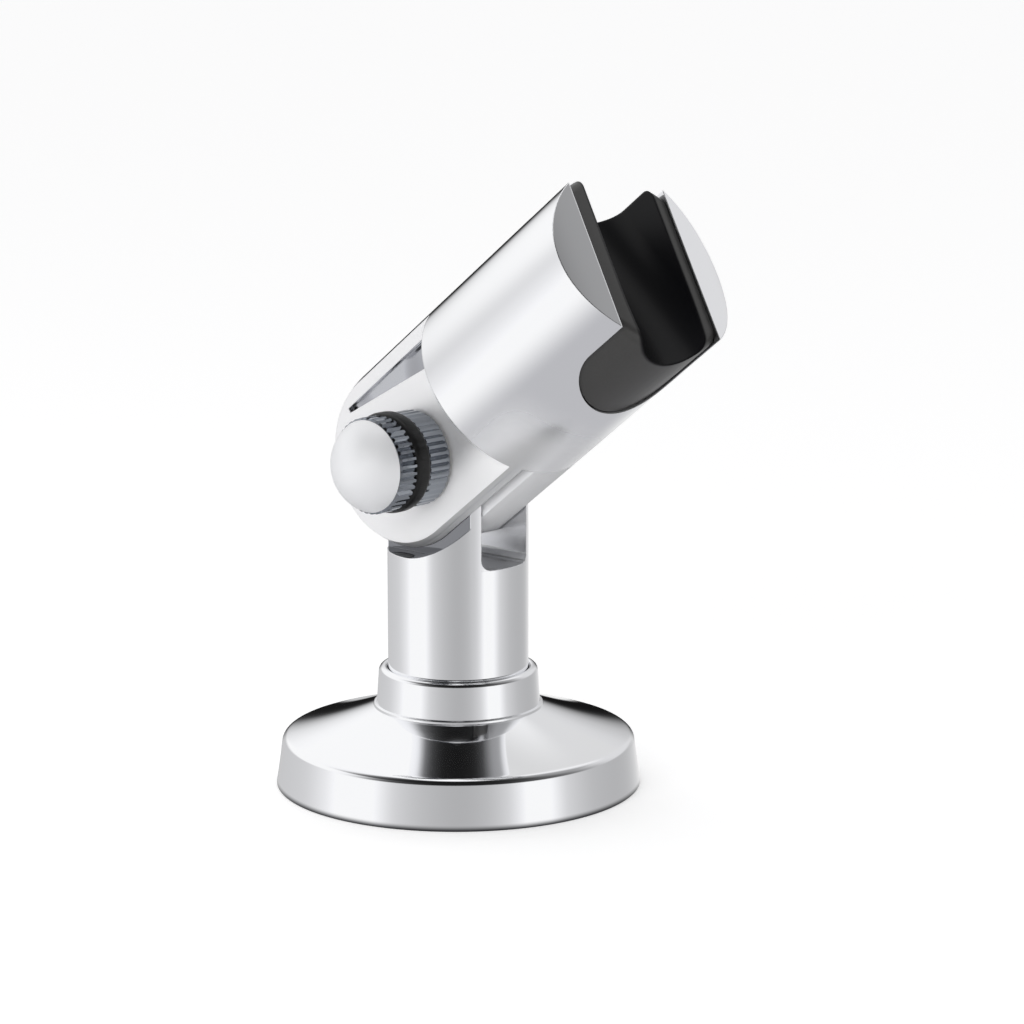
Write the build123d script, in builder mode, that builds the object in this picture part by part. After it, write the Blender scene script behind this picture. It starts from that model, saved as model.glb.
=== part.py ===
from build123d import *
import os
from math import sqrt

# Wall holder for a hand shower: a round flange, a short stem and a tilting head with a lined slot.
# Lengths are in millimetres and angles in degrees.
# The origin is the middle of the wall side of the flange, and +Z runs up the stem.
# The pivot lies along X with its knob on the -X side, and the head leans towards -Y.

# Fits
running_clearance = 0.05
slide_clearance = 0.08
seat_gap = 0.05
liner_gap = 0.1

# Flange cover
flange_radius = 30.0
skirt_height = 8.0
skirt_taper = 1.1
rim_round = 1.3
cover_wall = 1.6
cone_rise = 5.0
cone_sag = 0.25
foot_step = 0.5
collar_wall = 1.9
collar_taper = 0.4
collar_height = 6.1
lip_round = 0.9
lip_inner_round = 0.5
seal_height = 1.8
seal_depth = 0.8
seal_drop = 4.2

# Wall side
gasket_thickness = 0.8
gasket_radius = 24.0
gasket_hole_radius = 8.0
plate_radius = 25.0
plate_thickness = 4.0
wall_hole_count = 3
wall_hole_circle_radius = 18.0
wall_hole_radius = 2.25
wall_hole_sink_radius = 4.2
stem_screw_radius = 4.0
stem_screw_length = 16.0
stem_screw_head_radius = 6.2
stem_screw_head_height = 2.4
stem_screw_socket = 5.0
stem_screw_socket_depth = 1.6
locating_pin_radius = 1.25
locating_pin_edge = 3.3
locating_pin_depth = 5.0

# Stem and its two prongs
stem_radius = 11.5
pivot_height = 55.4
prong_inner = 5.3
prong_thickness = 1.5
prong_end_radius = 10.2
stem_slot_depth = 17.9
stem_slot_round = 1.6
recess_radius = 12.4
recess_centre_y = 1.0
recess_depth = 16.3

# Head
head_tilt = 52.2
head_radius = 16.6
head_offset = 2.65
head_end = 53.2
head_shoulder = 16.0
head_crown_radius = 53.0
cheek_outer = 8.9
tail_centre = 4.5
cheek_relief_depth = 0.9
cheek_relief_edge = 2.15
cheek_relief_tail_height = 0.8
cheek_relief_height = 5.0
cheek_relief_length = 25.0
prong_slot_end = 16.4
prong_slot_round = 0.7
edge_break = 0.35

# Lined slot in the head, turned a little about the head's own axis and set off it, its channel on the axis
slot_twist = 12.0
slot_shift = 0.55
slot_half_width = 9.85
slot_bottom = 34.2
liner_recess = 0.45
liner_corner = 1.6
channel_half_width = 7.2
channel_front_floor = 48.0
channel_back_floor = 37.2
channel_flare = 1.4
channel_flare_length = 4.0
liner_screw_radius = 1.5
liner_screw_length = 9.0
liner_screw_head_radius = 2.8
liner_screw_head_height = 1.7
liner_screw_offset = 5.0
liner_screw_slot = 0.8

# Pivot bolt, washers, bush and nut
bolt_radius = 2.5
bolt_hex_flats = 8.0
bolt_hex_height = 3.5
bush_wall = 1.0
friction_washer_thickness = 0.4
friction_washer_radius = 9.0
thrust_washer_thickness = 0.6
thrust_washer_radius = 6.6
lock_washer_thickness = 0.6
lock_washer_radius = 5.4
nut_flange_radius = 6.0
nut_flange_thickness = 1.4
nut_dome_radius = 4.6
nut_dome_height = 3.2
bolt_engagement = 3.4

# Knob
knob_radius = 7.7
inner_band_width = 4.5
ring_groove_width = 3.2
outer_band_width = 3.4
ring_groove_radius = 6.0
ring_outer_radius = 8.05
ring_round = 0.9
band_chamfer = 0.3
rib_count = 40
rib_depth = 0.4
cap_base_radius = 7.4
cap_height = 4.85
cap_spigot_radius = 5.6
cap_spigot_length = 1.6
knob_hex_wall = 2.6

os.makedirs("parts", exist_ok=True)

# Levels and planes that several pieces share
plate_bottom = gasket_thickness
plate_top = plate_bottom + plate_thickness
rim_radius = flange_radius - skirt_taper
cover_bore = stem_radius + slide_clearance
collar_radius = stem_radius + collar_wall
cone_foot_radius = collar_radius + foot_step
cone_foot_height = skirt_height + cone_rise
collar_foot = cone_foot_height + foot_step
collar_top = collar_foot + collar_height
seal_level = collar_top - seal_drop
locating_pin_offset = stem_radius - locating_pin_edge
stem_slot_floor = pivot_height - stem_slot_depth
recess_floor = pivot_height - recess_depth
prong_outer = prong_inner + prong_thickness
cheek_inner = prong_outer + 2 * seat_gap
cheek_edge = head_offset + sqrt(head_radius**2 - cheek_outer**2)
relief_top = cheek_edge - cheek_relief_edge
relief_tail = head_shoulder - cheek_relief_length
finger_half = prong_inner - friction_washer_thickness - 2 * seat_gap
pivot_axis = Axis((0, 0, pivot_height), (1, 0, 0))
pivot_section = Plane(origin=(0, 0, pivot_height), x_dir=(1, 0, 0), z_dir=(0, -1, 0))
pivot_side = Plane(origin=(0, 0, pivot_height), x_dir=(0, 1, 0), z_dir=(1, 0, 0))
head_plane = Plane.XY.offset(pivot_height).rotated((head_tilt, 0, 0))
head_side = Plane(origin=head_plane.origin, x_dir=head_plane.y_dir, z_dir=head_plane.x_dir)
head_axis_origin = head_plane.origin + head_plane.y_dir * head_offset
slot_across = head_plane.x_dir.rotate(Axis((0, 0, 0), head_plane.z_dir), -slot_twist)
slot_level = Plane(origin=head_axis_origin, x_dir=slot_across, z_dir=head_plane.z_dir)
slot_face = Plane(origin=head_axis_origin, x_dir=slot_level.x_dir, z_dir=-slot_level.y_dir)
slot_side = Plane(origin=head_axis_origin, x_dir=slot_level.y_dir, z_dir=slot_level.x_dir)
reach = 2 * head_end


def washer(name, inner_radius, outer_radius, start, thickness):
    """A flat ring about the pivot, from start towards +X."""
    with BuildPart() as ring:
        with BuildSketch(pivot_side.offset(start)):
            Circle(outer_radius)
            Circle(inner_radius, mode=Mode.SUBTRACT)
        extrude(amount=thickness)
    ring.part.label = name
    return ring.part


# Foam gasket between the plate and the wall, punched for the screws.
with BuildPart() as wall_gasket:
    with BuildSketch():
        Circle(gasket_radius)
        Circle(gasket_hole_radius, mode=Mode.SUBTRACT)
        with PolarLocations(wall_hole_circle_radius, wall_hole_count, start_angle=90):
            Circle(wall_hole_radius, mode=Mode.SUBTRACT)
    extrude(amount=gasket_thickness)
wall_gasket.part.label = "wall_gasket"
export_step(wall_gasket.part, "parts/wall_gasket.step")

# Steel plate that is screwed to the wall under the cover and carries the stem.
with BuildPart() as wall_plate:
    with BuildSketch(Plane.XY.offset(plate_bottom)):
        Circle(plate_radius)
    extrude(amount=plate_thickness)
    chamfer(wall_plate.edges().group_by(Axis.Z)[-1], length=edge_break)
    with Locations(Plane.XY.offset(plate_top)):
        with PolarLocations(wall_hole_circle_radius, wall_hole_count, start_angle=90):
            CounterSinkHole(wall_hole_radius, wall_hole_sink_radius)
    with Locations(Plane(origin=(0, 0, plate_bottom), z_dir=(0, 0, -1))):
        CounterBoreHole(
            stem_screw_radius + running_clearance,
            stem_screw_head_radius + liner_gap,
            stem_screw_head_height - gasket_thickness + seat_gap,
        )
    with BuildSketch(Plane.XY.offset(plate_bottom)):
        with Locations((0, locating_pin_offset)):
            Circle(locating_pin_radius + running_clearance)
    extrude(amount=plate_thickness, mode=Mode.SUBTRACT)
wall_plate.part.label = "wall_plate"
export_step(wall_plate.part, "parts/wall_plate.step")

# Stem: a turned bar with a foot bore, milled at the top into two prongs that the head's layers straddle.
with BuildPart() as stem:
    with BuildSketch(Plane.XY.offset(plate_top)):
        Circle(stem_radius)
    extrude(amount=pivot_height + prong_end_radius - plate_top)
    chamfer(stem.edges().group_by(Axis.Z)[0], length=edge_break)
    # rounded prong ends about the pivot
    with BuildSketch(pivot_side.offset(-stem_radius)):
        with Locations((0, (plate_top - pivot_height) / 2)):
            Rectangle(2 * stem_radius, pivot_height - plate_top)
        Circle(prong_end_radius)
    extrude(amount=2 * stem_radius, mode=Mode.INTERSECT)
    # slot between the prongs for the head's middle layer
    with BuildSketch(pivot_section):
        with Locations((0, stem_slot_floor - pivot_height)):
            slot = Rectangle(2 * prong_inner, reach, align=(Align.CENTER, Align.MIN))
        fillet(slot.vertices().group_by(Axis.Z)[0], radius=stem_slot_round)
    extrude(amount=stem_radius, both=True, mode=Mode.SUBTRACT)
    # round recesses beside the prongs, in which the head's outer layers turn
    for side in (-1, 1):
        with BuildSketch(pivot_side.offset(side * prong_outer)):
            with Locations((recess_centre_y, recess_floor + recess_radius - pivot_height)):
                Circle(recess_radius)
            with Locations((recess_centre_y, recess_floor - pivot_height)):
                Rectangle(reach, reach, align=(Align.MIN, Align.MIN))
            with Locations((recess_centre_y, recess_floor + recess_radius - pivot_height)):
                Rectangle(reach, reach, align=(Align.CENTER, Align.MIN))
        extrude(amount=side * stem_radius, mode=Mode.SUBTRACT)
    # bore for the pivot bolt
    with BuildSketch(pivot_side):
        Circle(bolt_radius + running_clearance)
    extrude(amount=stem_radius, both=True, mode=Mode.SUBTRACT)
    # threaded bore for the stem screw and hole for the locating pin
    with BuildSketch(Plane.XY.offset(plate_top)):
        Circle(stem_screw_radius)
    extrude(amount=stem_screw_length, mode=Mode.SUBTRACT)
    with BuildSketch(Plane.XY.offset(plate_top)):
        with Locations((0, locating_pin_offset)):
            Circle(locating_pin_radius)
    extrude(amount=locating_pin_depth, mode=Mode.SUBTRACT)
stem.part.label = "stem"
export_step(stem.part, "parts/stem.step")

# Screw that draws the stem down on the plate from behind.
with BuildPart() as stem_screw:
    head_level = plate_bottom + stem_screw_head_height - gasket_thickness
    with BuildSketch(Plane.XY.offset(head_level)):
        Circle(stem_screw_head_radius)
    extrude(amount=-stem_screw_head_height + seat_gap)
    with BuildSketch(Plane.XY.offset(head_level)):
        Circle(stem_screw_radius)
    extrude(amount=plate_top - head_level + stem_screw_length - edge_break)
    with BuildSketch(Plane.XY.offset(head_level - stem_screw_head_height)):
        RegularPolygon(stem_screw_socket / 2, 6, major_radius=False)
    extrude(amount=stem_screw_socket_depth, mode=Mode.SUBTRACT)
stem_screw.part.label = "stem_screw"
export_step(stem_screw.part, "parts/stem_screw.step")

# Pin that keeps the stem from turning on the plate.
with BuildPart() as locating_pin:
    with BuildSketch(Plane.XY.offset(plate_bottom)):
        with Locations((0, locating_pin_offset)):
            Circle(locating_pin_radius)
    extrude(amount=plate_thickness + locating_pin_depth - edge_break)
locating_pin.part.label = "locating_pin"
export_step(locating_pin.part, "parts/locating_pin.step")

# Flange cover: one spun shell with skirt, shallow cone and collar, which slides down the stem to the wall.
with BuildPart() as flange_cover:
    with BuildSketch(Plane.XZ) as cover_profile:
        with BuildLine():
            skirt = Line((flange_radius, 0), (rim_radius, skirt_height))
            cone = Spline(
                skirt @ 1,
                ((rim_radius + cone_foot_radius) / 2, (skirt_height + cone_foot_height) / 2 - cone_sag),
                (cone_foot_radius, cone_foot_height),
            )
            step = Polyline(
                cone @ 1,
                (cone_foot_radius, collar_foot),
                (collar_radius, collar_foot),
                (collar_radius - collar_taper, collar_top),
                (cover_bore, collar_top),
            )
            inner_slope = (cone_foot_height - skirt_height) / (rim_radius - cone_foot_radius)
            inner_rim_radius = rim_radius - cover_wall
            inner_rim_height = skirt_height - cover_wall + inner_slope * cover_wall
            inner_foot_height = inner_rim_height + inner_slope * (inner_rim_radius - cover_bore)
            Polyline(
                step @ 1,
                (cover_bore, inner_foot_height - cone_sag),
                (inner_rim_radius, inner_rim_height - cone_sag),
                (flange_radius - cover_wall, 0),
                (flange_radius, 0),
            )
        make_face()
        rim_corner = cover_profile.vertices().sort_by_distance((rim_radius, skirt_height))[0]
        fillet(rim_corner, radius=rim_round)
        lip_corner = cover_profile.vertices().sort_by_distance((collar_radius - collar_taper, collar_top))[0]
        fillet(lip_corner, radius=lip_round)
        mouth_corner = cover_profile.vertices().sort_by_distance((cover_bore, collar_top))[0]
        fillet(mouth_corner, radius=lip_inner_round)
        with Locations((cover_bore, seal_level)):
            Rectangle(2 * seal_depth, seal_height, mode=Mode.SUBTRACT)
    revolve(axis=Axis.Z)
flange_cover.part.label = "flange_cover"
export_step(flange_cover.part, "parts/flange_cover.step")

# Rubber ring in the collar that grips the stem.
with BuildPart() as cover_seal:
    with BuildSketch(Plane.XZ):
        with Locations((stem_radius + running_clearance, seal_level)):
            Rectangle(
                slide_clearance + seal_depth - 2 * running_clearance,
                seal_height - 2 * running_clearance,
                align=(Align.MIN, Align.CENTER),
            )
    revolve(axis=Axis.Z)
cover_seal.part.label = "cover_seal"
export_step(cover_seal.part, "parts/cover_seal.step")

# Head: a ball-ended bar, whose rear has two flat cheeks and a middle layer about the pivot, and whose
# front end is slotted for the liner.
with BuildPart() as head:
    with BuildSketch(head_plane.offset(-tail_centre)):
        with Locations((0, head_offset)):
            Circle(head_radius)
    extrude(amount=tail_centre + head_end)
    with Locations(head_axis_origin - head_plane.z_dir * tail_centre):
        Sphere(head_radius)
    # crowned end face
    with BuildSketch(slot_face):
        with Locations((0, head_end - head_crown_radius)):
            Circle(head_crown_radius)
    extrude(amount=reach, both=True, mode=Mode.INTERSECT)
    # flat cheeks behind the shoulder
    for side in (-1, 1):
        with BuildSketch(head_side.offset(side * cheek_outer)):
            with Locations((head_offset, head_shoulder)):
                Rectangle(reach, reach, align=(Align.CENTER, Align.MAX))
        extrude(amount=side * head_radius, mode=Mode.SUBTRACT)
        # wedge-shaped relief along the cheek's upper edge, deepest at the shoulder
        with BuildSketch(head_side.offset(side * cheek_outer)):
            with BuildLine():
                Polyline(
                    (relief_top, head_shoulder),
                    (relief_top, relief_tail),
                    (relief_top - cheek_relief_tail_height, relief_tail),
                    (relief_top - cheek_relief_height, head_shoulder),
                    close=True,
                )
            make_face()
        extrude(amount=-side * cheek_relief_depth, mode=Mode.SUBTRACT)
        # slot for the stem's prong, open behind and at both edges
        slot_width = cheek_inner - finger_half
        with BuildSketch(Plane(origin=head_plane.origin, x_dir=head_plane.x_dir, z_dir=-head_plane.y_dir)):
            with Locations((side * (finger_half + slot_width / 2), prong_slot_end)):
                cut = Rectangle(slot_width, reach, align=(Align.CENTER, Align.MAX))
            inner_corners = cut.vertices().sort_by(Axis(head_plane.origin, head_plane.z_dir))[-2:]
            fillet(inner_corners, radius=prong_slot_round)
        extrude(amount=reach, both=True, mode=Mode.SUBTRACT)
    # round end of the middle layer
    with BuildSketch(head_side.offset(-finger_half - seat_gap)):
        with Locations((head_offset, 0)):
            Rectangle(reach, reach, align=(Align.CENTER, Align.MAX))
            Circle(head_radius, mode=Mode.SUBTRACT)
    extrude(amount=2 * (finger_half + seat_gap), mode=Mode.SUBTRACT)
    # bore through the cheeks, wider in the middle layer for the bush
    with BuildSketch(pivot_side):
        Circle(bolt_radius + running_clearance)
    extrude(amount=reach, both=True, mode=Mode.SUBTRACT)
    with BuildSketch(pivot_side):
        Circle(bolt_radius + running_clearance + bush_wall)
    extrude(amount=finger_half + seat_gap, both=True, mode=Mode.SUBTRACT)
    # slot for the liner
    with BuildSketch(slot_face):
        with Locations((-slot_shift, slot_bottom + slot_half_width)):
            Circle(slot_half_width)
            Rectangle(2 * slot_half_width, reach, align=(Align.CENTER, Align.MIN))
    extrude(amount=reach, both=True, mode=Mode.SUBTRACT)
    # threaded hole for the liner's screw
    with BuildSketch(slot_level.offset(slot_bottom - liner_screw_length)):
        with Locations((0, liner_screw_offset)):
            Circle(liner_screw_radius)
    extrude(amount=liner_screw_length + slot_half_width, mode=Mode.SUBTRACT)
head.part.label = "head"
export_step(head.part, "parts/head.step")

# Level of the liner's screw head in the sloping floor of the channel
floor_fall = (channel_front_floor - channel_back_floor) / (2 * head_radius)
screw_floor = channel_front_floor - floor_fall * (head_radius + liner_screw_offset)
screw_plane = slot_level.offset(screw_floor - liner_screw_head_height)

# Liner: a plastic insert that fills the slot, with a round-bottomed channel that deepens towards the back.
with BuildPart() as liner:
    with BuildSketch(slot_face):
        with Locations((-slot_shift, slot_bottom + slot_half_width)):
            Circle(slot_half_width - liner_gap)
            Rectangle(2 * (slot_half_width - liner_gap), reach, align=(Align.CENTER, Align.MIN))
    extrude(amount=reach, both=True)
    with BuildSketch(slot_level):
        Circle(head_radius - liner_recess)
    extrude(amount=head_end - liner_recess, mode=Mode.INTERSECT)
    fillet(
        liner.edges().filter_by(GeomType.CIRCLE).group_by(Axis(head_plane.origin, head_plane.z_dir))[-1],
        radius=liner_corner,
    )
    # sloping channel
    front_floor = Vector(slot_side.from_local_coords((-head_radius, channel_front_floor, 0)))
    back_floor = Vector(slot_side.from_local_coords((head_radius, channel_back_floor, 0)))
    channel_direction = (front_floor - back_floor).normalized()
    channel_plane = Plane(origin=back_floor, x_dir=slot_level.x_dir, z_dir=channel_direction)
    with BuildSketch(channel_plane.offset(-head_radius)):
        with Locations((0, channel_half_width)):
            Circle(channel_half_width)
            Rectangle(2 * channel_half_width, reach, align=(Align.CENTER, Align.MIN))
    extrude(amount=2 * reach, mode=Mode.SUBTRACT)
    # flared back mouth
    with BuildSketch(channel_plane.offset(-channel_flare_length / 2)):
        with Locations((0, channel_half_width)):
            Circle(channel_half_width + channel_flare)
            Rectangle(2 * (channel_half_width + channel_flare), reach, align=(Align.CENTER, Align.MIN))
    with BuildSketch(channel_plane.offset(channel_flare_length)):
        with Locations((0, channel_half_width)):
            Circle(channel_half_width)
            Rectangle(2 * channel_half_width, reach, align=(Align.CENTER, Align.MIN))
    loft(mode=Mode.SUBTRACT)
    # countersunk hole for the liner's screw
    with BuildSketch(slot_level.offset(slot_bottom)):
        with Locations((0, liner_screw_offset)):
            Circle(liner_screw_radius + running_clearance)
    extrude(amount=slot_half_width, mode=Mode.SUBTRACT)
    with BuildSketch(screw_plane):
        with Locations((0, liner_screw_offset)):
            Circle(liner_screw_head_radius + running_clearance)
    extrude(amount=slot_half_width, mode=Mode.SUBTRACT)
liner.part.label = "liner"
export_step(liner.part, "parts/liner.step")

# Countersunk screw through the channel's floor that holds the liner in the head.
with BuildPart() as liner_screw:
    with BuildSketch(screw_plane):
        with Locations((0, liner_screw_offset)):
            Circle(liner_screw_radius)
    extrude(amount=slot_bottom - liner_screw_length + liner_gap - screw_floor + liner_screw_head_height)
    with BuildSketch(screw_plane):
        with Locations((0, liner_screw_offset)):
            Circle(liner_screw_head_radius)
    extrude(amount=liner_screw_head_height - liner_screw_slot)
    with BuildSketch(screw_plane.offset(liner_screw_head_height - liner_screw_slot)):
        with Locations((0, liner_screw_offset)):
            Rectangle(2 * liner_screw_head_radius, liner_screw_slot)
    extrude(amount=-liner_screw_slot, mode=Mode.SUBTRACT)
liner_screw.part.label = "liner_screw"
export_step(liner_screw.part, "parts/liner_screw.step")

# Plain sleeve in the head's middle layer, on which the pivot bolt bears.
pivot_bush = washer(
    "pivot_bush",
    bolt_radius + running_clearance,
    bolt_radius + running_clearance + bush_wall,
    -finger_half,
    2 * finger_half,
)
export_step(pivot_bush, "parts/pivot_bush.step")

# Friction washers between the head's middle layer and the two prongs.
near_start = -finger_half - friction_washer_thickness
for name, start in (("friction_washer_near", near_start), ("friction_washer_far", finger_half)):
    friction_washer = washer(
        name, bolt_radius + running_clearance, friction_washer_radius, start, friction_washer_thickness
    )
    export_step(friction_washer, "parts/" + name + ".step")

# Thrust washer between the knob and the near cheek.
thrust_start = -cheek_outer - thrust_washer_thickness
thrust_washer = washer(
    "thrust_washer",
    bolt_radius + running_clearance,
    thrust_washer_radius,
    thrust_start,
    thrust_washer_thickness,
)
export_step(thrust_washer, "parts/thrust_washer.step")

# Lock washer between the far cheek and the cap nut.
lock_washer = washer(
    "lock_washer", bolt_radius + running_clearance, lock_washer_radius, cheek_outer, lock_washer_thickness
)
export_step(lock_washer, "parts/lock_washer.step")

# Cap nut on the far cheek, into which the pivot bolt is screwed.
nut_start = cheek_outer + lock_washer_thickness
with BuildPart() as cap_nut:
    with BuildSketch(pivot_side.offset(nut_start)):
        Circle(nut_flange_radius)
    extrude(amount=nut_flange_thickness)
    chamfer(cap_nut.edges().group_by(Axis.X)[-1], length=edge_break)
    with BuildSketch(pivot_side.offset(nut_start)):
        Circle(nut_dome_radius)
    extrude(amount=nut_flange_thickness + nut_dome_height)
    fillet(cap_nut.edges().group_by(Axis.X)[-1], radius=nut_dome_height / 2)
    with BuildSketch(pivot_side.offset(nut_start)):
        Circle(bolt_radius + running_clearance)
    extrude(amount=bolt_engagement + running_clearance, mode=Mode.SUBTRACT)
cap_nut.part.label = "cap_nut"
export_step(cap_nut.part, "parts/cap_nut.step")

# Knob: two ribbed bands with a groove between them, a hex pocket for the bolt head and a seat for the cap.
knob_start = thrust_start - seat_gap
inner_band_end = knob_start - inner_band_width
groove_end = inner_band_end - ring_groove_width
outer_band_end = groove_end - outer_band_width
with BuildPart() as knob:
    with BuildSketch(pivot_section) as knob_profile:
        with BuildLine():
            Polyline(
                (knob_start, 0),
                (knob_start, knob_radius - band_chamfer),
                (knob_start - band_chamfer, knob_radius),
                (inner_band_end, knob_radius),
                (inner_band_end, ring_groove_radius),
                (groove_end, ring_groove_radius),
                (groove_end, knob_radius),
                (outer_band_end + band_chamfer, knob_radius),
                (outer_band_end, knob_radius - band_chamfer),
                (outer_band_end, 0),
                close=True,
            )
        make_face()
    revolve(axis=pivot_axis)
    # straight ribs round both bands
    with BuildSketch(pivot_side.offset(outer_band_end)):
        with PolarLocations(knob_radius, rib_count):
            Rectangle(rib_depth * sqrt(2), rib_depth * sqrt(2), rotation=45)
    extrude(amount=knob_start - outer_band_end, mode=Mode.SUBTRACT)
    # seat for the cap, pocket for the bolt's hexagon and bore for its shank
    with BuildSketch(pivot_side.offset(outer_band_end)):
        Circle(cap_spigot_radius + seat_gap)
    extrude(amount=cap_spigot_length + seat_gap, mode=Mode.SUBTRACT)
    with BuildSketch(pivot_side.offset(outer_band_end)):
        RegularPolygon(bolt_hex_flats / 2 + seat_gap, 6, major_radius=False)
    extrude(amount=knob_start - knob_hex_wall - outer_band_end, mode=Mode.SUBTRACT)
    with BuildSketch(pivot_side.offset(outer_band_end)):
        Circle(bolt_radius + running_clearance)
    extrude(amount=knob_start - outer_band_end, mode=Mode.SUBTRACT)
knob.part.label = "knob"
export_step(knob.part, "parts/knob.step")

# Pivot bolt: its hexagon sits in the knob, and its shank runs through the whole knuckle into the cap nut.
bolt_head_start = knob_start - knob_hex_wall
with BuildPart() as pivot_bolt:
    with BuildSketch(pivot_side.offset(bolt_head_start)):
        RegularPolygon(bolt_hex_flats / 2, 6, major_radius=False)
    extrude(amount=-bolt_hex_height)
    with BuildSketch(pivot_side.offset(bolt_head_start)):
        Circle(bolt_radius)
    extrude(amount=nut_start + bolt_engagement - bolt_head_start)
pivot_bolt.part.label = "pivot_bolt"
export_step(pivot_bolt.part, "parts/pivot_bolt.step")

# Rubber ring in the knob's groove, for grip.
with BuildPart() as grip_ring:
    with BuildSketch(pivot_section):
        with Locations(((inner_band_end + groove_end) / 2, ring_groove_radius + seat_gap)):
            ring_section = Rectangle(
                ring_groove_width - 2 * seat_gap,
                ring_outer_radius - ring_groove_radius - seat_gap,
                align=(Align.CENTER, Align.MIN),
            )
        fillet(ring_section.vertices().group_by(Axis.Y)[-1], radius=ring_round)
    revolve(axis=pivot_axis)
grip_ring.part.label = "grip_ring"
export_step(grip_ring.part, "parts/grip_ring.step")

# Domed cap that closes the knob over the bolt's head.
with BuildPart() as knob_cap:
    with BuildSketch(pivot_section):
        with BuildLine():
            RadiusArc(
                (outer_band_end - seat_gap, cap_base_radius),
                (outer_band_end - seat_gap - cap_height, 0),
                -(cap_base_radius**2 + cap_height**2) / (2 * cap_height),
            )
            Polyline(
                (outer_band_end - seat_gap, cap_base_radius),
                (outer_band_end - seat_gap, cap_spigot_radius),
                (outer_band_end + cap_spigot_length, cap_spigot_radius),
                (outer_band_end + cap_spigot_length, 0),
                (outer_band_end - seat_gap - cap_height, 0),
            )
        make_face()
    revolve(axis=pivot_axis)
knob_cap.part.label = "knob_cap"
export_step(knob_cap.part, "parts/knob_cap.step")
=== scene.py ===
from math import atan, cos, pi, radians, sin

import bpy
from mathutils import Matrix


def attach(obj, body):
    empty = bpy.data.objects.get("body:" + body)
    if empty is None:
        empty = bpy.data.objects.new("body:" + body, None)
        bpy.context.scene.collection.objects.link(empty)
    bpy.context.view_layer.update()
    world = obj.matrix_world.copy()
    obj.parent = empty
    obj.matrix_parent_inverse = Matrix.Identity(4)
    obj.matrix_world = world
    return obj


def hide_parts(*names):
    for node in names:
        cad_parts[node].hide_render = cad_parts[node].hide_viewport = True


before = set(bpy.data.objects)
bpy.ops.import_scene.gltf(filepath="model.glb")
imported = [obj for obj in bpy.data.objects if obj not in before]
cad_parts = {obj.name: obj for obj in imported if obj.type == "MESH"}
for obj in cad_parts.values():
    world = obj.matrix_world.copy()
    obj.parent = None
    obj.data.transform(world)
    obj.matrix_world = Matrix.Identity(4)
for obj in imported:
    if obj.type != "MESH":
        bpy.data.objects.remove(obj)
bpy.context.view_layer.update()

# Camera: a long lens a little above the holder, from the side of the knob and of the open head.
# Its place and lens are those that lay the model's outlines over the photo's.
camera_turn = 47.405
camera_drop = 11.38
bpy.ops.object.camera_add(
    location=(-0.3765, -0.3581, 0.1496), rotation=(radians(90 - camera_drop), 0, radians(-camera_turn))
)
camera = bpy.context.object
camera.data.sensor_width = 36
camera.data.lens = 114.66
camera.data.clip_start = 0.01
bpy.context.scene.camera = camera
bpy.context.scene.view_settings.view_transform = "Standard"

# Studio: a white tent with two tall soft strips left and right and a dark opening above the camera.
# Azimuth is measured from the camera's side, so a ramp's middle is what stands behind the camera.
# Angles are in degrees. Each table pairs an angle with the tent's light there.
low_band = (
    (-180, 0.55), (-137, 0.62), (-112, 0.64), (-92, 0.86), (-78, 1.1), (-64, 1.2), (-52, 0.98), (-40, 0.66),
    (-22, 0.53), (0, 0.43), (18, 0.5), (32, 0.66), (42, 0.95), (52, 1.25), (62, 0.98), (73, 0.66), (95, 0.5),
    (140, 0.42), (180, 1.0),
)
high_band = (
    (-180, 1.0), (-140, 1.05), (-110, 1.02), (-85, 1.02), (-72, 0.8), (-60, 0.3), (-46, 0.06), (-20, 0.01),
    (20, 0.01), (40, 0.04), (70, 0.12), (90, 0.25), (115, 0.74), (140, 0.76), (165, 0.72), (180, 1.0),
)
opening_band = (
    (-180, 1.0), (-125, 1.0), (-108, 0.9), (-95, 0.5), (-82, 0.15), (-60, 0.04), (-30, 0.01), (30, 0.01),
    (60, 0.05), (76, 0.24), (90, 0.34), (112, 0.36), (124, 0.7), (140, 0.9), (180, 1.0),
)
back_strip = (
    (-10, 0.01), (-4, 0.01), (0, 0.012), (3.5, 0.03), (6, 0.24), (9, 0.52), (13, 0.74), (20, 0.94),
    (34, 1.12), (50, 1.0),
)
low_to_high = (4, 16)
high_to_opening = (34, 43)
strip_edge = (156, 171)
strip_foot = (-10, -7)
ground_edge = (-20, -50)
roof_edge = (66, 78)
ground_colour = (0.52, 0.52, 0.54, 1)
roof_colour = (1.05, 1.05, 1.06, 1)
coolness = 1.012
world = bpy.data.worlds.new("studio")
bpy.context.scene.world = world
world.use_nodes = True
tree = world.node_tree
tree.nodes.clear()


def feed(socket, term):
    """Give a socket of the tree in hand a number, a tuple or another node's output."""
    if isinstance(term, (int, float, tuple)):
        socket.default_value = term
    else:
        tree.links.new(term, socket)


def calculate(operation, *terms):
    """Add a math node to the tree in hand."""
    node = tree.nodes.new("ShaderNodeMath")
    node.operation = operation
    for socket, term in zip(node.inputs, terms):
        feed(socket, term)
    return node.outputs[0]


def fade(value, start, end, first=0.0, last=1.0, curve="SMOOTHSTEP"):
    """Map a value that runs from start to end onto first to last."""
    node = tree.nodes.new("ShaderNodeMapRange")
    node.interpolation_type = curve
    feed(node.inputs["Value"], value)
    for name, term in (("From Min", start), ("From Max", end), ("To Min", first), ("To Max", last)):
        feed(node.inputs[name], term)
    return node.outputs[0]


def fade_angle(angle, edge):
    """Fade from 0 to 1 between two angles in degrees."""
    return fade(angle, radians(edge[0]), radians(edge[1]))


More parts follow.
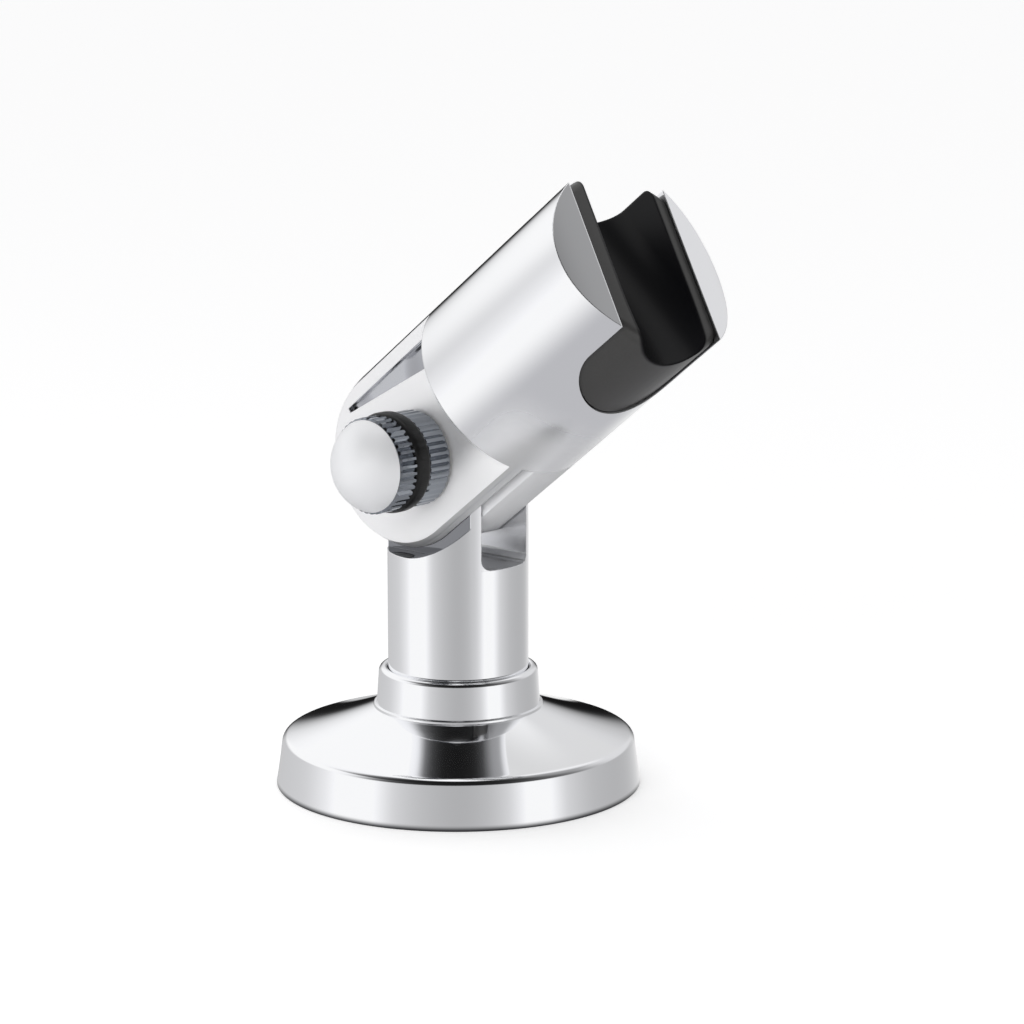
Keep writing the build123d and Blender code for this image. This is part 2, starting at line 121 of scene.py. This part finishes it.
def mix(share, first, second):
    """Blend two colours by a share from 0 to 1."""
    node = tree.nodes.new("ShaderNodeMix")
    node.data_type = "RGBA"
    feed(node.inputs["Factor"], share)
    feed(node.inputs[6], first)
    feed(node.inputs[7], second)
    return node.outputs[2]


def tent_light(angle, table):
    """Add a smooth ramp of light over an angle, through the pairs of a table, the last of which is white."""
    first, last = table[0][0], table[-1][0]
    share = fade(angle, radians(first), radians(last), curve="LINEAR")
    node = tree.nodes.new("ShaderNodeValToRGB")
    ramp = node.color_ramp
    ramp.interpolation = "B_SPLINE"
    # the last stop is the ramp's own white end, which leaves a seam straight behind the holder
    for number, (place, light) in enumerate(table[:-1]):
        position = (place - first) / (last - first)
        stop = ramp.elements[0] if number == 0 else ramp.elements.new(position)
        stop.position = position
        stop.color = (light, light, light * coolness, 1)
    feed(node.inputs["Fac"], share)
    return node.outputs["Color"]


direction = tree.nodes.new("ShaderNodeTexCoord")
turn = tree.nodes.new("ShaderNodeVectorRotate")
turn.rotation_type = "Z_AXIS"
feed(turn.inputs["Angle"], radians(camera_turn))
feed(turn.inputs["Vector"], direction.outputs["Generated"])
split = tree.nodes.new("ShaderNodeSeparateXYZ")
feed(split.inputs["Vector"], turn.outputs["Vector"])
azimuth = calculate("ARCTAN2", split.outputs["X"], calculate("MULTIPLY", split.outputs["Y"], -1))
level = calculate("ARCSINE", split.outputs["Z"])
low = tent_light(azimuth, low_band)
high = tent_light(azimuth, high_band)
opening = tent_light(azimuth, opening_band)
bands = mix(fade_angle(level, low_to_high), low, high)
tiers = mix(fade_angle(level, high_to_opening), bands, opening)
# a strip behind the holder, dark at the horizon, which the far edges of the flange mirror
behind = fade_angle(calculate("ABSOLUTE", azimuth), strip_edge)
strip_share = calculate("MULTIPLY", fade_angle(level, strip_foot), behind)
dimmed = tree.nodes.new("ShaderNodeVectorMath")
dimmed.operation = "SCALE"
feed(dimmed.inputs[0], tent_light(level, back_strip))
feed(dimmed.inputs["Scale"], fade(split.outputs["X"], -0.12, 0.12, 1.0, 0.72))
backdrop = mix(strip_share, tiers, dimmed.outputs[0])
# grey ground below and white roof above
grounded = mix(fade_angle(level, ground_edge), backdrop, ground_colour)
roofed = mix(fade_angle(level, roof_edge), grounded, roof_colour)
# the camera itself sees plain white
path = tree.nodes.new("ShaderNodeLightPath")
background = tree.nodes.new("ShaderNodeBackground")
feed(background.inputs["Color"], mix(path.outputs["Is Camera Ray"], roofed, (1, 1, 1, 1)))
world_output = tree.nodes.new("ShaderNodeOutputWorld")
feed(world_output.inputs["Surface"], background.outputs[0])

# Side light: a large soft lamp at the left, between the camera and the knob.
# It lifts the satin faces, and the mirrors don't show it.
bpy.ops.object.light_add(type="AREA", location=(-0.6, -0.22, 0.18))
side_light = bpy.context.object
side_light.rotation_euler = (radians(79.4), 0, radians(-69.9))
side_light.data.size = 0.5
side_light.data.energy = 2.6
side_light.visible_glossy = False

# Floor: a white table that keeps the soft shadow.
# Mirrored rays pass it, as the tent goes on below the table.
floor_colour = (0.8, 0.8, 0.8, 1)
floor_glow = 0.54
bpy.ops.mesh.primitive_plane_add(size=8, location=(0, 0, 0))
floor = bpy.context.object
floor.name = "floor"
floor_material = bpy.data.materials.new("floor_white")
floor_material.use_nodes = True
tree = floor_material.node_tree
tree.nodes.clear()


def choose(share, first, second):
    """Mix two shaders by a share from 0 to 1."""
    node = tree.nodes.new("ShaderNodeMixShader")
    for socket, term in zip(node.inputs, (share, first, second)):
        feed(socket, term)
    return node.outputs[0]


path = tree.nodes.new("ShaderNodeLightPath")
diffuse = tree.nodes.new("ShaderNodeBsdfDiffuse")
feed(diffuse.inputs["Color"], floor_colour)
glow = tree.nodes.new("ShaderNodeEmission")
feed(glow.inputs["Strength"], floor_glow)
lift = tree.nodes.new("ShaderNodeAddShader")
feed(lift.inputs[0], diffuse.outputs[0])
feed(lift.inputs[1], glow.outputs[0])
clear = tree.nodes.new("ShaderNodeBsdfTransparent")
for_camera = choose(path.outputs["Is Camera Ray"], diffuse.outputs[0], lift.outputs[0])
floor_output = tree.nodes.new("ShaderNodeOutputMaterial")
feed(floor_output.inputs["Surface"], choose(path.outputs["Is Glossy Ray"], for_camera, clear.outputs[0]))
floor.data.materials.append(floor_material)

# Flange cover: one spun and polished brass shell with skirt, shallow cone and collar, chrome plated.
# It slides down the stem over the wall plate and is held there by the rubber ring in its collar.
# Its outline pairs a radius with a height, in millimetres, from the foot up, over the lip and down inside.
foot = (30.0, 0.0)
rim = (28.9, 8.0)
collar_foot = (13.9, 13.5)
lip = (13.0, 19.6)
mouth = (11.6, 19.6)
cone_steps = 12
cone_rise = 5.0
cone_hollow = 1.0
outline = [(29.25, 5.0), rim]
for step in range(1, cone_steps + 1):
    share = step / cone_steps
    sag = cone_hollow * share * (1 - share)
    outline.append((rim[0] + (collar_foot[0] - rim[0]) * share, rim[1] + cone_rise * share - sag))
outline += [collar_foot, (13.4, 13.5), (13.2, 16.5), lip, mouth, (11.6, 16.3), (12.36, 16.3), (12.36, 14.5)]
outline += [(11.6, 14.5), (11.6, 11.9), (27.3, 6.6), (28.4, 0.0), foot]


def draw_out(start, outline, axis, centre, extrude):
    """Extrude the selected ring through pairs of radius and place along an axis, from its present pair."""
    radius, place = start
    for next_radius, next_place in outline:
        move = [0, 0, 0]
        move[axis] = (next_place - place) * 0.001
        extrude(TRANSFORM_OT_translate={"value": move})
        size = [next_radius / radius] * 3
        size[axis] = 1
        bpy.ops.transform.resize(value=size, center_override=centre)
        radius, place = next_radius, next_place


bpy.ops.mesh.primitive_circle_add(vertices=192, radius=foot[0] * 0.001, location=(0, 0, 0))
flange_cover = bpy.context.object
flange_cover.name = "flange_cover_shell"
bpy.ops.object.mode_set(mode="EDIT")
bpy.ops.mesh.select_all(action="SELECT")
draw_out(foot, outline, 2, (0, 0, 0), bpy.ops.mesh.extrude_edges_move)
bpy.ops.mesh.select_all(action="SELECT")
bpy.ops.mesh.remove_doubles(threshold=0.000002)
bpy.ops.mesh.normals_make_consistent(inside=False)
# each corner with the width in millimetres and the steps of its rounding
for (radius, height), width, steps in (
    (rim, 0.84, 8), (lip, 0.84, 8), (mouth, 0.45, 4), (collar_foot, 0.14, 2), (foot, 0.3, 3),
):
    bpy.ops.mesh.select_all(action="DESELECT")
    bpy.ops.object.mode_set(mode="OBJECT")
    for vertex in flange_cover.data.vertices:
        away = (vertex.co.x ** 2 + vertex.co.y ** 2) ** 0.5
        vertex.select = abs(away - radius * 0.001) < 0.00001 and abs(vertex.co.z - height * 0.001) < 0.00001
    bpy.ops.object.mode_set(mode="EDIT")
    bpy.ops.mesh.select_mode(type="VERT")
    bpy.ops.mesh.select_mode(type="EDGE")
    bpy.ops.mesh.bevel(offset=width * 0.001, segments=steps, affect="EDGES", clamp_overlap=False)
bpy.ops.object.mode_set(mode="OBJECT")
bpy.ops.object.shade_smooth_by_angle(angle=radians(28))
# chrome plate: a mirror with a faint haze, slow polishing waves and edges that are rounded as they are lit
chrome_colour = (0.93, 0.935, 0.95, 1)
chrome = bpy.data.materials.new("chrome_plate")
chrome.use_nodes = True
tree = chrome.node_tree
shader = tree.nodes["Principled BSDF"]


def noise(place, scale, detail=2.0):
    """Add fine noise on a place and return its strength."""
    node = tree.nodes.new("ShaderNodeTexNoise")
    feed(node.inputs["Vector"], place)
    feed(node.inputs["Scale"], scale)
    feed(node.inputs["Detail"], detail)
    return node.outputs["Fac"]


def bump(height, strength, distance, normal=None):
    """Turn a height into a normal, over another normal if there is one."""
    node = tree.nodes.new("ShaderNodeBump")
    feed(node.inputs["Height"], height)
    feed(node.inputs["Strength"], strength)
    feed(node.inputs["Distance"], distance)
    if normal is not None:
        feed(node.inputs["Normal"], normal)
    return node.outputs["Normal"]


feed(shader.inputs["Base Color"], chrome_colour)
feed(shader.inputs["Metallic"], 1)
object_place = tree.nodes.new("ShaderNodeTexCoord")
object_place.name = "place"
place = object_place.outputs["Object"]
gloss = fade(noise(place, 260, 4), 0, 1, 0.025, 0.07, "LINEAR")
gloss.node.name = "gloss"
feed(shader.inputs["Roughness"], gloss)
edges = tree.nodes.new("ShaderNodeBevel")
edges.name = "edges"
edges.samples = 6
feed(edges.inputs["Radius"], 0.00016)
waves = bump(noise(place, 90, 1), 0.06, 0.00012, edges.outputs["Normal"])
waves.node.name = "waves"
feed(shader.inputs["Normal"], waves)


def separate(place):
    """Return the X, Y and Z of a place."""
    node = tree.nodes.new("ShaderNodeSeparateXYZ")
    feed(node.inputs["Vector"], place)
    return node.outputs


# painted shadow: the lowest millimetre of the foot is coloured nearly black, standing in for the contact
# shadow that its edge would mirror
painted_contact_shadow = (0.05, 0.05, 0.055, 1)
flange_chrome = chrome.copy()
flange_chrome.name = "chrome_flange"
tree = flange_chrome.node_tree
shader = tree.nodes["Principled BSDF"]
above_painted_shadow = fade(separate(tree.nodes["place"].outputs["Object"])["Z"], 0.00015, 0.0011)
# the foot's painted shadow gives way to the plain chrome colour upwards
feed(shader.inputs["Base Color"], mix(above_painted_shadow, painted_contact_shadow, chrome_colour))
flange_cover.data.materials.append(flange_chrome)
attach(flange_cover, "cover")
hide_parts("flange_cover")

# Stem: a turned brass bar, milled at the top into two prongs and chrome plated all over.
# The faces inside the milled slot stay a little dull, because the polishing wheel doesn't reach them.
slot_half_width = 0.00536
slot_floor = 0.0374
prong_outside = 0.0064
# painted shade on the seat: the height where it fades in up the stem, how far out it reaches, and its dark
# grey
seat_foot = (0.0362, 0.0376)
seat_reach = 0.01141
painted_seat_shade = (0.22, 0.225, 0.24, 1)
stem_chrome = chrome.copy()
stem_chrome.name = "chrome_stem"
tree = stem_chrome.node_tree
shader = tree.nodes["Principled BSDF"]


def measure(operation, *terms):
    """Add a vector math node; a dot product or a length gives a number, the others give a vector."""
    node = tree.nodes.new("ShaderNodeVectorMath")
    node.operation = operation
    for socket, term in zip(node.inputs, terms):
        feed(socket, term)
    return node.outputs["Value"] if operation in ("DOT_PRODUCT", "LENGTH") else node.outputs[0]


place = tree.nodes["place"].outputs["Object"]
spot = separate(place)
aside = calculate("ABSOLUTE", spot["X"])
between_prongs = calculate("LESS_THAN", aside, slot_half_width)
above_floor = calculate("GREATER_THAN", spot["Z"], slot_floor)
in_slot = calculate("MULTIPLY", between_prongs, above_floor)
feed(shader.inputs["Roughness"], calculate("MULTIPLY_ADD", in_slot, 0.16, tree.nodes["gloss"].outputs[0]))
feed(shader.inputs["Metallic"], fade(in_slot, 0, 1, 1.0, 0.9, "LINEAR"))
# painted shade: the head's seat on the stem, beside the prongs and up under the cheeks, is coloured dark grey
# where the cheeks shade it
plan_radius = measure("LENGTH", measure("MULTIPLY", place, (1, 1, 0)))
inside_bar = calculate("LESS_THAN", plan_radius, seat_reach)
beside_prongs = calculate("GREATER_THAN", aside, prong_outside)
seat = calculate("MULTIPLY", inside_bar, beside_prongs)
shade = calculate("MULTIPLY", fade(spot["Z"], *seat_foot), seat)
feed(shader.inputs["Base Color"], mix(shade, chrome_colour, painted_seat_shade))


def dress(name, material):
    """Give a piece of the frame its finish."""
    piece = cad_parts[name]
    piece.data.materials.clear()
    piece.data.materials.append(material)


dress("stem", stem_chrome)

# Head: a ball-ended brass bar with milled cheeks, knuckle slots and liner slot, polished and chrome plated.
# Its two flat cheeks are ground and stay satin, and so do the faces inside the knuckle.
pivot_height = 0.0554
tilt = radians(52.2)
shoulder = 0.01595
cheek_face = 0.0089
relief_face = 0.0080
face_tolerance = 0.00005
knuckle_half_width = 0.00695
knuckle_end = 0.0165
# painted shade: the recessed relief is coloured dark grey instead of chrome
painted_relief_shade = (0.5, 0.51, 0.54, 1)
cheek_colour = (0.99, 0.99, 1, 1)
head_chrome = chrome.copy()
head_chrome.name = "chrome_head"
tree = head_chrome.node_tree
shader = tree.nodes["Principled BSDF"]
place = tree.nodes["place"].outputs["Object"]
aside = calculate("ABSOLUTE", separate(place)["X"])
from_pivot = measure("SUBTRACT", place, (0, 0, pivot_height))
along = measure("DOT_PRODUCT", from_pivot, (0, -sin(tilt), cos(tilt)))
downward = measure("DOT_PRODUCT", from_pivot, (0, -cos(tilt), -sin(tilt)))
behind_shoulder = calculate("LESS_THAN", along, shoulder)
cheek = calculate("MULTIPLY", calculate("COMPARE", aside, cheek_face, face_tolerance), behind_shoulder)
relief = calculate("MULTIPLY", calculate("COMPARE", aside, relief_face, face_tolerance), behind_shoulder)
knuckle = calculate(
    "MULTIPLY", calculate("LESS_THAN", aside, knuckle_half_width), calculate("LESS_THAN", along, knuckle_end)
)
# the polish fades low on the bar beside the stem
faded = calculate("MULTIPLY", fade(downward, 0.003, 0.009), fade(along, 0.033, 0.022))
rough = tree.nodes["gloss"].outputs[0]
for region, extra in ((cheek, 0.36), (knuckle, 0.32), (relief, 0.06), (faded, 0.19)):
    rough = calculate("MULTIPLY_ADD", region, extra, rough)
feed(shader.inputs["Roughness"], rough)
mirror = fade(knuckle, 0, 1, 1.0, 0.4, "LINEAR")
mirror = calculate("MULTIPLY_ADD", cheek, -0.35, mirror)
mirror = calculate("MULTIPLY_ADD", faded, -0.6, mirror)
mirror.node.use_clamp = True
feed(shader.inputs["Metallic"], mirror)
# the relief is polished by hand, so it is wavy under the plating
waves = tree.nodes["waves"].outputs["Normal"]
feed(shader.inputs["Normal"], bump(noise(place, 130, 0), relief, 0.0022, waves))
feed(tree.nodes["edges"].inputs["Radius"], 0.00026)
# the chrome colour with the relief's painted shade, then the cheeks' own satin colour over it
plate_with_relief_shade = mix(relief, chrome_colour, painted_relief_shade)
feed(shader.inputs["Base Color"], mix(cheek, plate_with_relief_shade, cheek_colour))
dress("head", head_chrome)

# Liner: a moulded insert of dark grey nylon in the head's slot, whose channel is painted nearly black as
# shade in the hollow and made less shiny.
# One countersunk screw in the channel's floor holds it, and its corners are rounded in the mould.
# It is modelled upright about the head's axis and then turned into the head.
liner_radius = 0.01615
liner_depth = 0.022
liner_end = 0.0519
slot_radius = 0.00975
slot_shift = -0.00055
slot_bottom = 0.0343
slot_turn = radians(-12)
channel_radius = 0.0072
channel_floor = 0.0426
channel_slope = atan(10.8 / 33.2)
head_offset = 0.00265


def settle():
    """Put the active piece's place and turn into its mesh."""
    bpy.ops.object.transform_apply(location=True, rotation=True, scale=True)


def combine(piece, other, operation):
    """Join another solid to a piece, or cut with it, and drop the other."""
    cut = piece.modifiers.new("cut", "BOOLEAN")
    cut.operation = operation
    cut.solver = "EXACT"
    cut.object = other
    bpy.ops.object.select_all(action="DESELECT")
    bpy.context.view_layer.objects.active = piece
    piece.select_set(True)
    bpy.ops.object.modifier_apply(modifier="cut")
    bpy.data.objects.remove(other)


bpy.ops.mesh.primitive_cylinder_add(
    vertices=160, radius=liner_radius, depth=liner_depth, location=(0, 0, liner_end - liner_depth / 2)
)
liner = bpy.context.object
liner.name = "liner_insert"
settle()
for vertex in liner.data.vertices:
    vertex.select = vertex.co.z > liner_end - 0.0019
for edge in liner.data.edges:
    edge.select = all(liner.data.vertices[index].select for index in edge.vertices)
for face in liner.data.polygons:
    face.select = all(liner.data.vertices[index].select for index in face.vertices)
bpy.ops.object.mode_set(mode="EDIT")
bpy.ops.mesh.select_mode(type="EDGE")
bpy.ops.mesh.bevel(offset=0.0016, segments=8, affect="EDGES", clamp_overlap=False)
bpy.ops.object.mode_set(mode="OBJECT")
# the slot's form: a lying cylinder with a block on it
slot_middle = slot_bottom + slot_radius
bpy.ops.mesh.primitive_cylinder_add(
    vertices=128, radius=slot_radius, depth=0.04, location=(slot_shift, 0, slot_middle),
    rotation=(radians(90), 0, 0)
)
slot_form = bpy.context.object
settle()
bpy.ops.mesh.primitive_cube_add(
    size=1, location=(slot_shift, 0, slot_middle + 0.01), scale=(2 * slot_radius, 0.04, 0.02)
)
slot_top = bpy.context.object
settle()
combine(slot_form, slot_top, "UNION")
# the channel's form: a rod with a block on it, tipped to the fall of the channel's floor
bpy.ops.mesh.primitive_cylinder_add(vertices=96, radius=channel_radius, depth=0.08, location=(0, 0, 0))
channel_form = bpy.context.object
settle()
bpy.ops.mesh.primitive_cube_add(size=1, location=(0, 0.015, 0), scale=(2 * channel_radius, 0.03, 0.08))
channel_top = bpy.context.object
settle()
combine(channel_form, channel_top, "UNION")
channel_form.rotation_euler = (radians(90) - channel_slope, 0, 0)
channel_form.location = (
    0, channel_radius * sin(channel_slope), channel_floor + channel_radius * cos(channel_slope)
)
settle()
combine(liner, slot_form, "INTERSECT")
combine(liner, channel_form, "DIFFERENCE")
liner.rotation_euler = (0, 0, slot_turn)
settle()
liner.rotation_euler = (tilt, 0, 0)
liner.location = (0, head_offset * cos(tilt), pivot_height + head_offset * sin(tilt))
settle()
bpy.ops.object.shade_smooth_by_angle(angle=radians(28))
# the channel's middle, its direction to the right and its direction up, where the head stands in the photo
channel_middle = (0.000463, -0.036111, 0.089522)
channel_right = (0.978148, -0.127479, -0.164281)
channel_up = (0.064316, -0.565941, 0.821933)
liner_plastic = bpy.data.materials.new("liner_nylon")
liner_plastic.use_nodes = True
tree = liner_plastic.node_tree
shader = tree.nodes["Principled BSDF"]
place = tree.nodes.new("ShaderNodeTexCoord").outputs["Object"]
from_middle = measure("SUBTRACT", place, channel_middle)
across = measure("DOT_PRODUCT", from_middle, channel_right)
under = calculate("MINIMUM", measure("DOT_PRODUCT", from_middle, channel_up), 0)
from_axis = tree.nodes.new("ShaderNodeCombineXYZ")
feed(from_axis.inputs["X"], across)
feed(from_axis.inputs["Y"], under)
# painted shade: inside the channel the nylon is coloured nearly black and reflects less
channel_shade = fade(measure("LENGTH", from_axis.outputs[0]), 0.0078, 0.00724)
speckle = noise(place, 3200, 3)
nylon_tone = mix(speckle, (0.042, 0.041, 0.040, 1), (0.056, 0.055, 0.053, 1))
feed(shader.inputs["Base Color"], mix(channel_shade, nylon_tone, (0.004, 0.004, 0.005, 1)))
feed(shader.inputs["Specular IOR Level"], fade(channel_shade, 0, 1, 0.5, 0.18, "LINEAR"))
feed(shader.inputs["Roughness"], fade(speckle, 0, 1, 0.3, 0.42, "LINEAR"))
edges = tree.nodes.new("ShaderNodeBevel")
edges.samples = 6
feed(edges.inputs["Radius"], 0.0004)
feed(shader.inputs["Normal"], bump(speckle, 0.08, 0.00003, edges.outputs["Normal"]))
liner.data.materials.append(liner_plastic)
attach(liner, "head")
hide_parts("liner")

# Knob: a turned and knurled brass cylinder, chrome plated, with a groove between its two ribbed bands.
# Its ribs are fine, so its edges are rounded less than those of the large pieces; its grooves are painted
# dark as shade and its rib tips painted light as highlight.
rib_foot = 0.0077
rib_tip = 0.0081
# painted shade in the grooves and on the flanks, painted highlight on the rib tips
painted_groove_shade = (0.3, 0.32, 0.35, 1)
painted_flank_shade = (0.62, 0.64, 0.68, 1)
painted_tip_highlight = (0.97, 0.98, 1, 1)
knob_chrome = chrome.copy()
knob_chrome.name = "chrome_knob"
tree = knob_chrome.node_tree
shader = tree.nodes["Principled BSDF"]
feed(tree.nodes["edges"].inputs["Radius"], 0.00003)
feed(tree.nodes["gloss"].inputs["To Min"], 0.04)
feed(tree.nodes["gloss"].inputs["To Max"], 0.08)
from_pivot = measure("SUBTRACT", tree.nodes["place"].outputs["Object"], (0, 0, pivot_height))
from_axis = measure("LENGTH", measure("MULTIPLY", from_pivot, (0, 1, 1)))
# painted shade and highlight: the colour runs from dark in the grooves to near white on the rib tips, by the
# distance from the pivot line
painted_rib_light = tree.nodes.new("ShaderNodeValToRGB")
painted_rib_light.color_ramp.elements[0].position = 0.0
painted_rib_light.color_ramp.elements[0].color = painted_groove_shade
painted_rib_light.color_ramp.elements[1].position = 0.8
painted_rib_light.color_ramp.elements[1].color = painted_tip_highlight
flank = painted_rib_light.color_ramp.elements.new(0.45)
flank.color = painted_flank_shade
feed(painted_rib_light.inputs["Fac"], fade(from_axis, rib_foot, rib_tip, curve="LINEAR"))
feed(shader.inputs["Base Color"], painted_rib_light.outputs["Color"])
dress("knob", knob_chrome)

# Grip ring: a black nitrile rubber ring, moulded with rounded shoulders, stretched into the knob's groove.
# Its section is in millimetres, as radius about the pivot line and place along it.
ring_radius = 8.05
ring_bore = 6.05
ring_near = -14.1
ring_far = -17.2
bpy.ops.mesh.primitive_circle_add(
    vertices=144, radius=ring_bore * 0.001, location=(ring_near * 0.001, 0, pivot_height),
    rotation=(0, radians(90), 0)
)
grip_ring = bpy.context.object
grip_ring.name = "grip_ring_rubber"
settle()
bpy.ops.object.mode_set(mode="EDIT")
bpy.ops.mesh.select_all(action="SELECT")
section = [(ring_radius, ring_near), (ring_radius, ring_far), (ring_bore, ring_far), (ring_bore, ring_near)]
draw_out((ring_bore, ring_near), section, 0, (0, 0, pivot_height), bpy.ops.mesh.extrude_edges_move)
bpy.ops.mesh.select_all(action="SELECT")
bpy.ops.mesh.remove_doubles(threshold=0.000002)
bpy.ops.mesh.normals_make_consistent(inside=False)
# the outer edges are rounded
bpy.ops.mesh.select_all(action="DESELECT")
bpy.ops.object.mode_set(mode="OBJECT")
for vertex in grip_ring.data.vertices:
    vertex.select = (vertex.co.y ** 2 + (vertex.co.z - pivot_height) ** 2) ** 0.5 > 0.0079
bpy.ops.object.mode_set(mode="EDIT")
bpy.ops.mesh.select_mode(type="VERT")
bpy.ops.mesh.select_mode(type="EDGE")
bpy.ops.object.mode_set(mode="OBJECT")
for edge in grip_ring.data.edges:
    first, second = [grip_ring.data.vertices[index].co for index in edge.vertices]
    edge.select = edge.select and abs(first.x - second.x) < 0.0001
bpy.ops.object.mode_set(mode="EDIT")
bpy.ops.mesh.bevel(offset=0.0009, segments=7, affect="EDGES", clamp_overlap=False)
bpy.ops.object.mode_set(mode="OBJECT")
bpy.ops.object.shade_smooth_by_angle(angle=radians(35))
rubber = bpy.data.materials.new("black_rubber")
rubber.use_nodes = True
tree = rubber.node_tree
shader = tree.nodes["Principled BSDF"]
dust = noise(tree.nodes.new("ShaderNodeTexCoord").outputs["Object"], 1400, 5)
feed(shader.inputs["Base Color"], mix(dust, (0.006, 0.006, 0.006, 1), (0.014, 0.014, 0.014, 1)))
feed(shader.inputs["Roughness"], fade(dust, 0, 1, 0.28, 0.42, "LINEAR"))
feed(shader.inputs["Specular IOR Level"], 0.3)
feed(shader.inputs["Normal"], bump(dust, 0.1, 0.00003))
grip_ring.data.materials.append(rubber)
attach(grip_ring, "knob")
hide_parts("grip_ring")

# Knob cap: a pressed brass dome with a spigot, blasted and satin chrome plated, pushed into the knob's end.
# Its outline is in millimetres, as radius about the pivot line and place along it.
cap_radius = 7.4
cap_height = 4.85
cap_seat = -20.7
spigot = (5.6, -19.05)
dome_radius = (cap_radius ** 2 + cap_height ** 2) / (2 * cap_height)
dome_middle = cap_seat - cap_height + dome_radius
outline = [(spigot[0], cap_seat), (7.25, cap_seat), (7.36, cap_seat - 0.05)]
for step in range(1, 27):
    slope = radians(66.0 - 2.5 * step)
    outline.append((dome_radius * sin(slope), dome_middle - dome_radius * cos(slope)))
bpy.ops.mesh.primitive_circle_add(
    vertices=144, radius=spigot[0] * 0.001, fill_type="NGON", location=(spigot[1] * 0.001, 0, pivot_height),
    rotation=(0, radians(90), 0)
)
knob_cap = bpy.context.object
knob_cap.name = "knob_cap_dome"
settle()
bpy.ops.object.mode_set(mode="EDIT")
bpy.ops.mesh.select_all(action="SELECT")
draw_out(spigot, outline, 0, (0, 0, pivot_height), bpy.ops.mesh.extrude_region_move)
bpy.ops.mesh.merge(type="CENTER")
bpy.ops.mesh.select_all(action="SELECT")
bpy.ops.mesh.normals_make_consistent(inside=False)
bpy.ops.object.mode_set(mode="OBJECT")
bpy.ops.object.shade_smooth_by_angle(angle=radians(35))
satin = bpy.data.materials.new("satin_chrome")
satin.use_nodes = True
tree = satin.node_tree
shader = tree.nodes["Principled BSDF"]
feed(shader.inputs["Base Color"], (0.95, 0.955, 0.97, 1))
feed(shader.inputs["Metallic"], 0.25)
blast = noise(tree.nodes.new("ShaderNodeTexCoord").outputs["Object"], 5200, 2)
feed(shader.inputs["Roughness"], fade(blast, 0, 1, 0.42, 0.52, "LINEAR"))
feed(shader.inputs["Normal"], bump(blast, 0.06, 0.00002))
knob_cap.data.materials.append(satin)
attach(knob_cap, "knob")
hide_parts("knob_cap")

# Cap nut: a small domed brass nut on the far cheek, chrome plated like the head.
# It takes the bolt's thread.
dress("cap_nut", chrome)

# Cover seal: a black rubber ring in the collar's groove.
# It rubs on the stem and holds the cover where it is pushed.
dress("cover_seal", rubber)

# Wall gasket: punched from closed-cell foam sheet.
# It is squeezed between the plate and the wall, under the cover.
foam = bpy.data.materials.new("foam")
foam.use_nodes = True
tree = foam.node_tree
shader = tree.nodes["Principled BSDF"]
cells = tree.nodes.new("ShaderNodeTexVoronoi")
feed(cells.inputs["Vector"], tree.nodes.new("ShaderNodeTexCoord").outputs["Object"])
feed(cells.inputs["Scale"], 2400)
pores = cells.outputs["Distance"]
feed(shader.inputs["Base Color"], mix(pores, (0.05, 0.05, 0.05, 1), (0.14, 0.14, 0.14, 1)))
feed(shader.inputs["Roughness"], 0.85)
feed(shader.inputs["Normal"], bump(pores, 0.4, 0.0001))
dress("wall_gasket", foam)

# Wall plate: a zinc plated steel disc with three countersunk holes for the wall screws.
# The cover hides it.
zinc = bpy.data.materials.new("zinc_steel")
zinc.use_nodes = True
tree = zinc.node_tree
shader = tree.nodes["Principled BSDF"]
feed(shader.inputs["Metallic"], 1)
bloom = noise(tree.nodes.new("ShaderNodeTexCoord").outputs["Object"], 500, 5)
feed(shader.inputs["Base Color"], mix(bloom, (0.5, 0.51, 0.53, 1), (0.68, 0.69, 0.7, 1)))
feed(shader.inputs["Roughness"], fade(bloom, 0, 1, 0.28, 0.45, "LINEAR"))
dress("wall_plate", zinc)

# Small steel parts, all zinc plated: the screw that draws the stem down on the plate from behind, the dowel
# that keeps the stem from turning, the slotted screw through the channel's floor, the hexagon bolt whose head
# sits in the knob, and the ring under the cap nut.
for name in ("stem_screw", "locating_pin", "liner_screw", "pivot_bolt", "lock_washer"):
    dress(name, zinc)

# Pivot bush: a plain bearing sleeve of sintered bronze.
# It is pressed into the head's middle layer.
bronze = bpy.data.materials.new("bronze")
bronze.use_nodes = True
tree = bronze.node_tree
shader = tree.nodes["Principled BSDF"]
feed(shader.inputs["Metallic"], 1)
sinter = noise(tree.nodes.new("ShaderNodeTexCoord").outputs["Object"], 4000)
feed(shader.inputs["Base Color"], mix(sinter, (0.42, 0.27, 0.12, 1), (0.62, 0.43, 0.22, 1)))
feed(shader.inputs["Roughness"], 0.4)
dress("pivot_bush", bronze)

# Washers, all punched from natural nylon: two between the head's middle layer and the prongs, and one on
# which the knob turns against the near cheek.
nylon = bpy.data.materials.new("nylon")
nylon.use_nodes = True
tree = nylon.node_tree
shader = tree.nodes["Principled BSDF"]
cloud = noise(tree.nodes.new("ShaderNodeTexCoord").outputs["Object"], 700)
feed(shader.inputs["Base Color"], mix(cloud, (0.7, 0.67, 0.6, 1), (0.82, 0.8, 0.74, 1)))
feed(shader.inputs["Roughness"], 0.45)
for name in ("friction_washer_near", "friction_washer_far", "thrust_washer"):
    dress(name, nylon)
